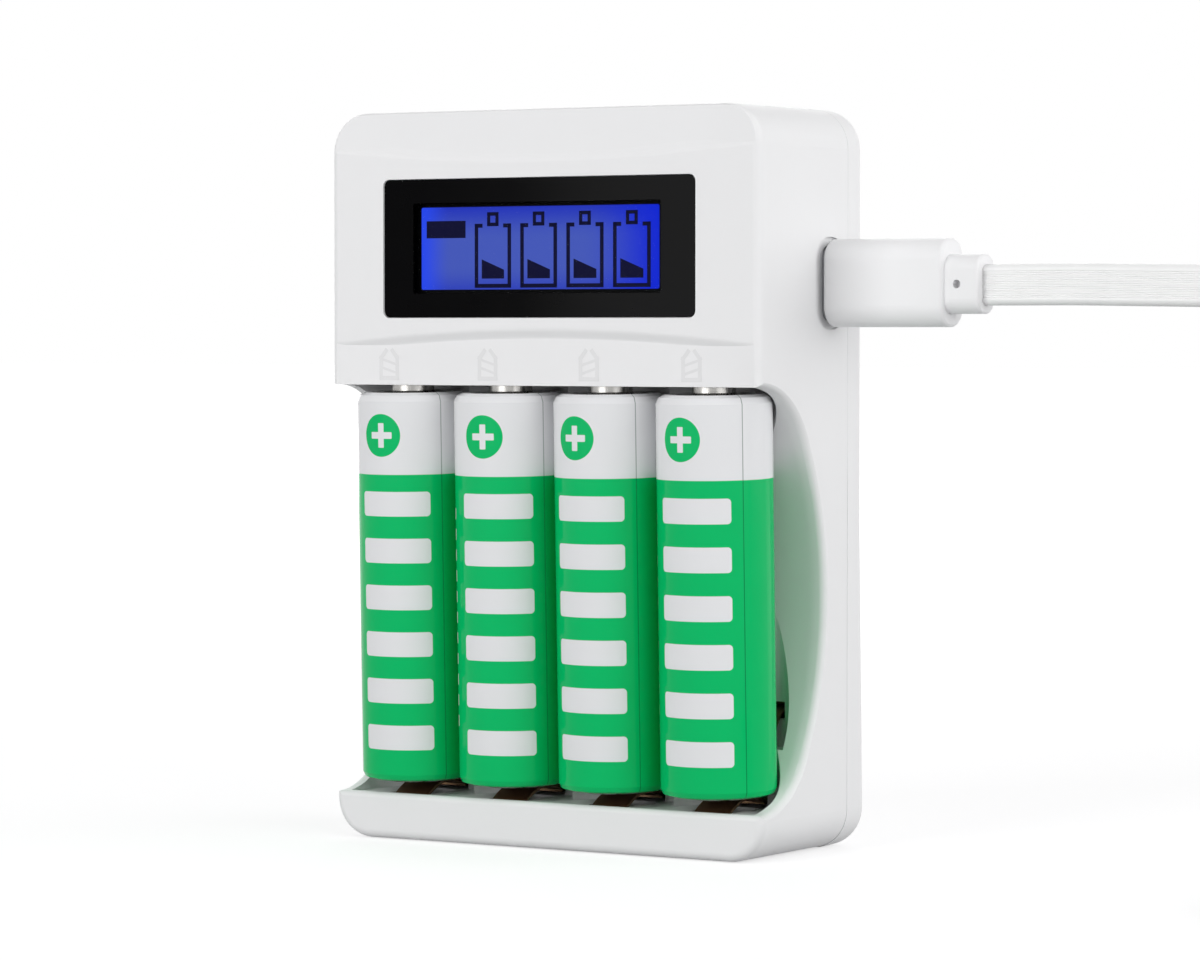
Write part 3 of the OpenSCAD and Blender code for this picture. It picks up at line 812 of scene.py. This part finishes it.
def dress(material: bpy.types.Material, *nodes: str) -> None:
    """Gives CAD nodes a finish.

    Args:
        material: The finish.
        nodes: Names of the nodes.
    """
    for node in nodes:
        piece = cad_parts[node]
        piece.data.materials.clear()
        piece.data.materials.append(material)
        LOG.info("dressed %s with %s", node, material.name)


def smooth_line(points: Array, steps: int) -> Array:
    """Runs a curve through points by the uniform Catmull-Rom formula, whole arrays at a time.

    Args:
        points: Array of shape (count, k).
        steps: Number of samples between two points.

    Returns:
        The samples, with the last point included.
    """
    padded = np.concatenate([2 * points[:1] - points[1:2], points, 2 * points[-1:] - points[-2:-1]])
    t = (np.arange(steps) / steps)[None, :, None]
    a, b, c, d = (padded[k : k + len(points) - 1][:, None, :] for k in range(4))
    square, cube = 2 * a - 5 * b + 4 * c - d, 3 * b - a - 3 * c + d
    curve = 0.5 * (2 * b + (c - a) * t + square * t**2 + cube * t**3)
    return np.concatenate([curve.reshape(-1, points.shape[1]), points[-1:]])


@dataclass(frozen=True)
class SoftBox:
    """A soft lamp that faces the charger, with its sizes in metres and its power in watts.

    Its turn runs from straight in front towards the right, and its rise is an angle over the
    horizon.
    """

    name: str
    turn_deg: float
    rise_deg: float
    size: tuple[float, float]
    power: float
    reach: float = 1.0
    aim: Point = (0.0, 0.0, 0.045)

    def hang(self) -> None:
        """Hangs the lamp in the direction (sin t cos r, -cos t cos r, sin r)."""
        turn, rise = math.radians(self.turn_deg), math.radians(self.rise_deg)
        flat = math.cos(rise)
        away = Vector((math.sin(turn) * flat, -math.cos(turn) * flat, math.sin(rise)))
        light = bpy.data.lights.new(self.name, "AREA")
        light.shape = "RECTANGLE"
        light.size, light.size_y = self.size
        light.energy = self.power
        lamp = bpy.data.objects.new(self.name, light)
        lamp.location = Vector(self.aim) + away * self.reach
        lamp.rotation_euler = away.to_track_quat("Z", "Y").to_euler()
        bpy.context.scene.collection.objects.link(lamp)


@dataclass
class Studio:
    """Camera at the photograph's place, soft light and a pale floor, in metres."""

    azimuth_deg: float = 32.134
    pitch_deg: float = 1.866
    place: Point = (0.315093, -0.500782, 0.064831)
    focal_px: float = 4698.8
    sensor_mm: float = 36.0
    clip: tuple[float, float] = (0.01, 50.0)
    lamps: tuple[SoftBox, ...] = (
        SoftBox("right_box", 93.0, 9.0, (1.9, 1.1), 14.0),
        SoftBox("left_box", -15.5, 9.0, (0.6, 0.9), 7.4),
        SoftBox("back_box", 218.0, 15.0, (0.8, 0.8), 3.6),
    )
    sky_level: float = 0.36
    ground: Colour = (0.5, 0.5, 0.505)
    ground_dark: Colour = (0.48, 0.48, 0.485)
    ground_per_mm: float = 0.002
    floor_half: float = 6.0
    floor_z: float = -0.0001
    near_glow: float = 0.645
    far_glow: float = 0.9
    glow_mm: tuple[float, float] = (150.0, 650.0)

    def camera(self) -> None:
        """Sets the camera: forward is (-sin a cos e, cos a cos e, -sin e), right (cos a, sin a, 0)."""
        a, e = math.radians(self.azimuth_deg), math.radians(self.pitch_deg)
        forward = Vector((-math.sin(a) * math.cos(e), math.cos(a) * math.cos(e), -math.sin(e)))
        right = Vector((math.cos(a), math.sin(a), 0.0))
        up = right.cross(forward)
        lens = bpy.data.cameras.new("camera")
        lens.sensor_width = self.sensor_mm
        lens.lens = self.focal_px / IMAGE_WIDTH * self.sensor_mm
        lens.clip_start, lens.clip_end = self.clip
        eye = bpy.data.objects.new("camera", lens)
        turn = Matrix((right, up, -forward)).transposed().to_4x4()
        eye.matrix_world = Matrix.Translation(self.place) @ turn
        bpy.context.scene.collection.objects.link(eye)
        bpy.context.scene.camera = eye

    @staticmethod
    def seen_share(graph: Graph) -> Value:
        """Tells rays that show a thing from those that carry light.

        Args:
            graph: The node tree that needs it.

        Returns:
            1 for rays from the camera, a mirror or clear stuff, and 0 for all others.
        """
        path = graph.add("ShaderNodeLightPath")
        camera = Value(graph, path.outputs["Is Camera Ray"])
        glossy = Value(graph, path.outputs["Is Glossy Ray"])
        through = Value(graph, path.outputs["Is Transmission Ray"])
        return camera.most(glossy).most(through)

    def floor(self) -> None:
        """Lays a pale floor that looks white and glows less near the charger, for its soft shadow."""
        graph = Graph.named("pale_floor")
        seen = self.seen_share(graph)
        cloud = graph.noise(self.ground_per_mm, 2.0)
        colour = graph.blend(cloud, self.ground_dark, self.ground)
        ground = graph.add("ShaderNodeBsdfDiffuse", None, {"Color": colour})
        x, y, _ = graph.place()
        away = (x * x + y * y).root().ramp(*self.glow_mm)
        white = graph.blend(away, (self.near_glow,) * 3, (self.far_glow,) * 3)
        glow = graph.add("ShaderNodeEmission", None, {"Color": white, "Strength": seen})
        both = graph.add("ShaderNodeAddShader", None, {0: ground.outputs[0], 1: glow.outputs[0]})
        graph.add("ShaderNodeOutputMaterial", None, {"Surface": both.outputs[0]})
        ends = np.array([-self.floor_half, self.floor_half])
        along, across = np.meshgrid(ends, ends, indexing="ij")
        patch = Patch.grid(np.stack([along, across, np.full_like(along, self.floor_z)], axis=-1))
        mesh = bpy.data.meshes.new("floor")
        mesh.from_pydata(patch.points.tolist(), [], patch.faces)
        mesh.materials.append(graph.owner)
        plane = bpy.data.objects.new("floor", mesh)
        bpy.context.scene.collection.objects.link(plane)

    def sky(self) -> None:
        """Surrounds the scene with even light that looks white; its level holds for light alone."""
        world = bpy.data.worlds.new("studio")
        bpy.context.scene.world = world
        graph = Graph(world)
        seen = self.seen_share(graph)
        level = seen + (1 - seen) * self.sky_level
        sockets = {"Color": (1.0, 1.0, 1.0), "Strength": level}
        back = graph.add("ShaderNodeBackground", None, sockets)
        graph.add("ShaderNodeOutputWorld", None, {"Surface": back.outputs[0]})

    def build(self) -> None:
        """Sets the view transform, sky, floor and lamps."""
        bpy.context.scene.view_settings.view_transform = "Standard"
        self.sky()
        self.floor()
        for lamp in self.lamps:
            lamp.hang()
        LOG.info("studio set with %d lamps", len(self.lamps))


@dataclass
class ChargingLead:
    """Flat ribbed cord from the plug in the socket to the supply plug on its coil, in millimetres.

    A route's points have six columns: place, and the way the cord's width faces there.
    """

    width: float = 5.0
    thick: float = 2.2
    ribs: int = 16
    rib_height: float = 0.05
    rib_steps: int = 6
    edge_share: float = 0.75
    edge_steps: int = 12
    route_steps: int = 3
    exit_point: Point = (52.8, 4.5, 69.9)
    drop_x: float = 100.2
    drop_count: int = 3
    coil_start: float = 26.0
    coil_step: float = 2.4
    coil_turns: float = 1.75
    coil_count: int = 36
    coil_middle: Point = (126.2, -13.5, 3.1)
    tail_radius: float = 12.0
    tail_count: int = 9
    tail_end: float = 2.0
    far_z: float = 9.6
    jacket: Colour = tone(247, 247, 247)

    def top_points(self) -> Array:
        """Points from the plug over the bend, from steps (x, z, twist in degrees).

        Returns:
            Array of shape (count, 6).
        """
        steps = np.array(
            [
                [0, 0, 0], [6, 0, 0], [12, 0, 0], [19, -0.1, 0], [26, -0.2, 0],
                [29.5, -0.3, 5], [33, -0.6, 25], [36.5, -1.4, 50], [40, -3, 70],
                [43, -5.4, 82], [45.4, -8.6, 90], [46.9, -12.2, 90], [47.4, -16.4, 90],
            ]
        )
        twist = np.radians(steps[:, 2])
        x0, y0, z0 = self.exit_point
        flat = np.zeros(len(steps))
        place = [x0 + steps[:, 0], flat + y0, z0 + steps[:, 1]]
        return np.column_stack([*place, flat, np.sin(twist), np.cos(twist)])

    def drop_points(self) -> Array:
        """Points down the hanging stretch, where the cord turns a quarter about its own line.

        Returns:
            Array of shape (count, 6).
        """
        share = np.arange(1, self.drop_count + 1) / (self.drop_count + 1)
        top, foot = self.top_points()[-1, 2], self.foot_points()[0, 2]
        turn = np.radians(90 * share)
        flat = np.zeros(len(share))
        place = [flat + self.drop_x, flat + self.exit_point[1], top + (foot - top) * share]
        return np.column_stack([*place, np.sin(turn), np.cos(turn), flat])

    def foot_points(self) -> Array:
        """Points round the foot of the drop, on to the table, from steps (y, z, twist in degrees).

        Returns:
            Array of shape (count, 6).
        """
        steps = np.array(
            [
                [0, 18, 0], [-0.9, 12.4, 0], [-3.4, 7.4, 15],
                [-7.4, 3.4, 40], [-12.4, 0.9, 70], [-18, 0, 90],
            ]
        )
        twist = np.radians(steps[:, 2])
        flat = np.zeros(len(steps))
        y, z = self.exit_point[1] + steps[:, 0], self.coil_middle[2] + steps[:, 1]
        return np.column_stack([flat + self.drop_x, y, z, np.cos(twist), flat, np.sin(twist)])

    def coil_points(self) -> Array:
        """Points of the stored coil: a flat spiral, r = start - step * turns, wound on edge.

        Returns:
            Array of shape (count, 6).
        """
        count = int(self.coil_turns * self.coil_count) + 1
        turn = np.linspace(0.0, self.coil_turns, count)[1:]
        angle = math.pi + 2 * math.pi * turn
        radius = self.coil_start - self.coil_step * turn
        x0, y0, z0 = self.coil_middle
        flat = np.zeros(len(turn))
        place = [x0 + radius * np.cos(angle), y0 + radius * np.sin(angle), flat + z0]
        return np.column_stack([*place, flat, flat, flat + 1])

    def tail_points(self) -> Array:
        """Points of the half loop that climbs, by s^2 (3 - 2 s), from the coil to the supply plug.

        Returns:
            Array of shape (count, 6).
        """
        share = np.arange(1, self.tail_count + 1) / self.tail_count
        angle = np.radians(90 + 180 * share)
        lift = share * share * (3 - 2 * share)
        x0, y0, z0 = self.coil_middle
        y_mid = y0 + self.coil_start - self.coil_step * self.coil_turns - self.tail_radius
        flat = np.zeros(len(share))
        x = x0 + self.tail_radius * np.cos(angle)
        y = y_mid + self.tail_radius * np.sin(angle)
        loop = np.column_stack([x, y, z0 + (self.far_z - z0) * lift, flat, flat, flat + 1])
        end = [x0 + self.tail_end, y_mid - self.tail_radius, self.far_z, 0.0, 0.0, 1.0]
        return np.concatenate([loop, np.array([end])])

    def route(self) -> Array:
        """Whole route as smooth samples of place and width direction.

        Returns:
            Array of shape (count, 6).
        """
        held = [self.top_points(), self.drop_points(), self.foot_points()]
        stored = [self.coil_points(), self.tail_points()]
        return smooth_line(np.concatenate(held + stored), self.route_steps)

    def section(self) -> Array:
        """Cross-section: ribbed flats, s = half thickness + rib cos(2 pi ribs t), and round edges.

        Returns:
            Array of shape (count, 2): across the thickness and across the width.
        """
        half_w, half_t = self.width / 2, self.thick / 2
        flat = half_w - half_t * self.edge_share
        t = np.linspace(-1.0, 1.0, self.ribs * self.rib_steps + 1)
        wave = np.cos(math.pi * self.ribs * (t + 1))
        rib = half_t - self.rib_height + self.rib_height * wave
        turn = np.linspace(0.0, math.pi, self.edge_steps + 1)[1:-1]
        cap_w = flat + (half_w - flat) * np.sin(turn)
        cap_s = half_t * np.cos(turn)
        side = np.concatenate([rib, cap_s, -rib, cap_s[::-1]])
        wide = np.concatenate([t * flat, cap_w, -t * flat, -cap_w])
        return np.column_stack([side, wide])

    def cord(self) -> bpy.types.Object:
        """Returns:
            The cord.
        """
        route = self.route()
        centre, across = route[:, :3], route[:, 3:]
        heading = np.gradient(centre, axis=0)
        heading /= np.linalg.norm(heading, axis=1, keepdims=True)
        side = np.cross(heading, across)
        side /= np.linalg.norm(side, axis=1, keepdims=True)
        across = np.cross(side, heading)
        shape = self.section()
        thickness = side[:, None] * shape[None, :, :1]
        rings = centre[:, None] + thickness + across[:, None] * shape[None, :, 1:]
        jacket = CordJacket("cord_jacket", self.jacket).material()
        piece = make_piece("flat_cord", Patch.swept(rings * MM), jacket)
        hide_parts("lead_cord", "lead_coil", "lead_tail")
        return piece

    def build(self) -> None:
        """Makes the cord and dresses both plugs and the tie."""
        self.cord()
        grip = MouldedPlastic("plug_plastic", tone(238, 238, 239), 0.44, specular=0.25)
        shell = PlatedMetal("plug_plating", (0.6, 0.6, 0.61), 0.24)
        tongue = MouldedPlastic("tongue_plastic", tone(30, 30, 32), 0.5)
        tie = MouldedPlastic("tie_plastic", tone(40, 40, 42), 0.5)
        dress(grip.material(), "plug_grip", "supply_grip")
        dress(shell.material(), "plug_shell", "supply_shell")
        dress(tongue.material(), "supply_tongue", "socket_tongue")
        dress(tie.material(), "coil_tie")


def prism(outline: Array, front: Callable[[Array], Array], thick: float) -> Patch:
    """Carries a convex outline straight back: rings at depth f(x) and f(x) + thickness.

    Args:
        outline: Points (x, z) in millimetres, anticlockwise as seen from the front.
        front: Gives the depth of the front face for each X, in millimetres.
        thick: Thickness in millimetres.

    Returns:
        The closed patch in metres.
    """
    depth = front(outline[:, 0])
    near = np.column_stack([outline[:, 0], depth, outline[:, 1]])
    far = near + np.array([0.0, thick, 0.0])
    return Patch.swept(np.stack([near, far]) * MM)


def stroke(a: tuple[float, float], b: tuple[float, float], width: float) -> Array:
    """Outline of a straight stroke from a to b with square ends half a width beyond them.

    Args:
        a: Start (x, z).
        b: End (x, z).
        width: Stroke width.

    Returns:
        Four corners, anticlockwise.
    """
    p, q = np.array(a), np.array(b)
    way = (q - p) / np.linalg.norm(q - p) * width / 2
    left = np.array([-way[1], way[0]])
    return np.array([p - way - left, q + way - left, q + way + left, p - way + left])


@dataclass
class Display:
    """Window, lit panel with its segments, and what stands behind them, in millimetres."""

    clear_x: tuple[float, float] = (-19.0, 17.4)
    clear_z: tuple[float, float] = (69.0, 80.3)
    lit_x: tuple[float, float] = (-18.8, 16.25)
    lit_z: tuple[float, float] = (69.5, 79.8)
    segment_y: float = -11.46
    segment_thick: float = 0.05
    bar_x: tuple[float, float] = (-18.0, -12.15)
    bar_z: tuple[float, float] = (75.95, 78.1)
    icon_count: int = 4
    icon_left: float = -10.75
    icon_pitch: float = 6.79
    icon_wide: float = 5.4
    icon_low: float = 69.7
    icon_high: float = 77.7
    icon_gap: float = 1.8
    button_half: float = 0.62
    button_z: tuple[float, float] = (-0.1, 1.2)
    level_inset: float = 1.05
    level_low: float = 1.15
    level_rise: tuple[float, float] = (2.4, 1.1)
    line: float = 0.5
    button_line: float = 0.45

    @staticmethod
    def rectangle(
        across: tuple[float, float], up: tuple[float, float]
    ) -> tuple[tuple[float, float], tuple[float, float]]:
        """Turns the two ranges of a rectangle into its middle and its half sizes."""
        middle = (sum(across) / 2, sum(up) / 2)
        return middle, (across[1] - middle[0], up[1] - middle[1])

    def icon(self, left: float) -> list[Array]:
        """Outlines of one cell symbol: frame with a gap at the top, button and a low level wedge.

        Args:
            left: Its left edge.

        Returns:
            Convex outlines.
        """
        h = self.line / 2
        x0, x1 = left + h, left + self.icon_wide - h
        z0, z1 = self.icon_low + h, self.icon_high - h
        mid = (x0 + x1) / 2
        frame_ends = [
            ((x0, z0), (x1, z0)),
            ((x0, z0), (x0, z1)),
            ((x1, z0), (x1, z1)),
            ((x0, z1), (mid - self.icon_gap, z1)),
            ((mid + self.icon_gap, z1), (x1, z1)),
        ]
        n0, n1 = mid - self.button_half, mid + self.button_half
        m0, m1 = (self.icon_high + z for z in self.button_z)
        button_ends = [
            ((n0, m0), (n1, m0)),
            ((n0, m1), (n1, m1)),
            ((n0, m0), (n0, m1)),
            ((n1, m0), (n1, m1)),
        ]
        strokes = [stroke(a, b, self.line) for a, b in frame_ends]
        strokes += [stroke(a, b, self.button_line) for a, b in button_ends]
        a, b = left + self.level_inset, left + self.icon_wide - self.level_inset
        low = self.icon_low + self.level_low
        high_a, high_b = (low + rise for rise in self.level_rise)
        return strokes + [np.array([[a, low], [b, low], [b, high_b], [a, high_a]])]

    def segments(self) -> None:
        """Lays the dark segments just in front of the panel: cell symbols and a plain status bar."""
        lefts = self.icon_left + self.icon_pitch * np.arange(self.icon_count)
        outlines = [outline for left in lefts for outline in self.icon(float(left))]
        (a, b), (low, high) = self.bar_x, self.bar_z
        outlines.append(np.array([[a, low], [b, low], [b, high], [a, high]]))
        front = partial(np.full_like, fill_value=self.segment_y)
        patch = Patch.joined([prism(o, front, self.segment_thick) for o in outlines])
        dark = Segment("display_segment").material()
        make_piece("display_segments", patch, dark, smooth=False)

    def build(self) -> None:
        """Dresses the display's pieces and makes its segments."""
        window = WindowGloss("window_gloss", *self.rectangle(self.clear_x, self.clear_z))
        panel = LitPanel("lit_panel", *self.rectangle(self.lit_x, self.lit_z))
        guide = MouldedPlastic("light_guide", (0.75, 0.78, 0.85), 0.3)
        dress(window.material(), "display_window")
        dress(panel.material(), "lcd_panel")
        dress(guide.material(), "lcd_backlight")
        self.segments()


@dataclass
class Housing:
    """Moulded case with its faint marks over the cells, in millimetres."""

    front_y: float = -13.2
    dish: float = 0.6
    dish_flat: float = 20.0
    dish_run: float = 11.0
    marks_x: tuple[float, ...] = (-22.92, -8.08, 6.82, 21.56)
    mark_tilts: tuple[float, ...] = (-0.25, -0.25, 0.25, 0.25)
    mark_z: tuple[float, float, float] = (58.4, 60.95, 61.85)
    mark_wide: float = 2.4
    mark_neck: float = 0.72
    stripes_z: tuple[float, float] = (59.4, 60.45)
    line: float = 0.52
    stripe_line: float = 0.312
    stripe_inset: float = 0.4
    mark_thick: float = 0.06
    mark_proud: float = 0.02
    stroke_step: float = 0.002

    def front_depth(self, x: Array, proud: float) -> Array:
        """Depth before the front face: y = front + dish (1 - max((|x| - flat) / run, 0)^2) - proud.

        Args:
            x: Places across the front.
            proud: How far before the face.

        Returns:
            Depth there.
        """
        share = np.maximum((np.abs(x) - self.dish_flat) / self.dish_run, 0.0)
        return self.front_y + self.dish * (1 - share**2) - proud

    def mark(self, middle: float, tilt: float) -> list[Array]:
        """Outlines of one cell mark: foot, sides, drawn-in shoulders and two slanting stripes.

        Args:
            middle: Its middle.
            tilt: How far a stripe's right end rises over its middle.

        Returns:
            Convex outlines.
        """
        h = self.mark_wide / 2
        a, b = middle - h, middle + h
        foot, shoulder, top = self.mark_z
        lines = [
            stroke((a, foot), (b, foot), self.line),
            stroke((a, foot), (a, shoulder), self.line),
            stroke((b, foot), (b, shoulder), self.line),
            stroke((a, shoulder), (a + self.mark_neck, top), self.line),
            stroke((b, shoulder), (b - self.mark_neck, top), self.line),
        ]
        p, q = a + self.stripe_inset, b - self.stripe_inset
        stripes = [stroke((p, z - tilt), (q, z + tilt), self.stripe_line) for z in self.stripes_z]
        return lines + stripes

    def marks(self) -> None:
        """Lays the marks; strokes of one mark lie a hair apart in depth, so that none coincide."""
        layers = []
        for middle, tilt in zip(self.marks_x, self.mark_tilts):
            for step, outline in enumerate(self.mark(middle, tilt)):
                proud = self.mark_proud + self.stroke_step * step
                front = partial(self.front_depth, proud=proud)
                layers.append(prism(outline, front, self.mark_thick))
        # Painted shade: the strokes' grey stands in for the shade that falls along the embossed
        # outlines.
        overlay_tone = MouldedPlastic("mark_grey", tone(222, 222, 223), 0.45).material()
        make_piece("cell_marks", Patch.joined(layers), overlay_tone, smooth=False)

    def build(self) -> None:
        """Dresses the case and lays its marks."""
        white = MouldedPlastic("case_plastic", tone(236, 236, 237), 0.5, specular=0.2)
        zinc = PlatedMetal("screw_zinc", (0.52, 0.53, 0.55), 0.35)
        dress(white.material(), "front_housing", "rear_cover")
        dress(zinc.material(), "case_screws")
        self.marks()


@dataclass
class Cells:
    """Four cells with their printed wraps; each stands turned a little differently."""

    pitch: float = 14.8
    turns: tuple[float, ...] = (11.0, 15.0, 4.5, 7.0)

    def build(self) -> None:
        """Dresses the cans and wraps."""
        steel = PlatedMetal("cell_nickel", (0.5, 0.49, 0.47), 0.28).material()
        middle = (len(self.turns) - 1) / 2
        for k, turn in enumerate(self.turns):
            wrap = CellPrint(f"cell_print_{k + 1}", (k - middle) * self.pitch, turn)
            dress(steel, f"cell_{k + 1}")
            dress(wrap.material(), f"wrap_{k + 1}")


@dataclass
class Contacts:
    """Sprung leaves and fixed contacts of the bay."""

    count: int = 4

    def build(self) -> None:
        """Dresses the contacts."""
        bronze = PlatedMetal("spring_bronze", tone(158, 126, 98), 0.42, (0.08, 1.0, 1.0), 0.4)
        nickel = PlatedMetal("contact_nickel", (0.66, 0.66, 0.65), 0.25, (1.0, 0.08, 1.0))
        leaf, fixed = bronze.material(), nickel.material()
        for k in range(1, self.count + 1):
            dress(leaf, f"aa_leaf_{k}", f"aaa_leaf_{k}")
            dress(fixed, f"plus_contact_{k}")


@dataclass
class Electronics:
    """Boards and what stands on them, inside the case."""

    def build(self) -> None:
        """Dresses the boards and their parts."""
        green = BoardLacquer("board_lacquer", (0.01, 0.12, 0.05), (0.03, 0.24, 0.09))
        black = MouldedPlastic("part_black", tone(28, 28, 30), 0.5)
        ferrite = MouldedPlastic("coil_ferrite", tone(56, 56, 60), 0.6)
        can = PlatedMetal("capacitor_can", (0.76, 0.77, 0.79), 0.3)
        shell = PlatedMetal("socket_plating", (0.72, 0.73, 0.75), 0.22)
        dress(green.material(), "main_board", "display_board")
        dress(black.material(), "board_link", "control_chip")
        dress(ferrite.material(), "power_coil")
        dress(can.material(), "filter_caps")
        dress(shell.material(), "charge_socket")


def main() -> None:
    """Builds the camera, the lead and then the rest of the charger."""
    logging.basicConfig(level=logging.INFO, format="%(message)s")
    studio = Studio()
    studio.camera()
    for part in (ChargingLead(), Housing(), Display(), Cells(), Contacts(), Electronics(), studio):
        part.build()


if __name__ == "__main__":
    main()
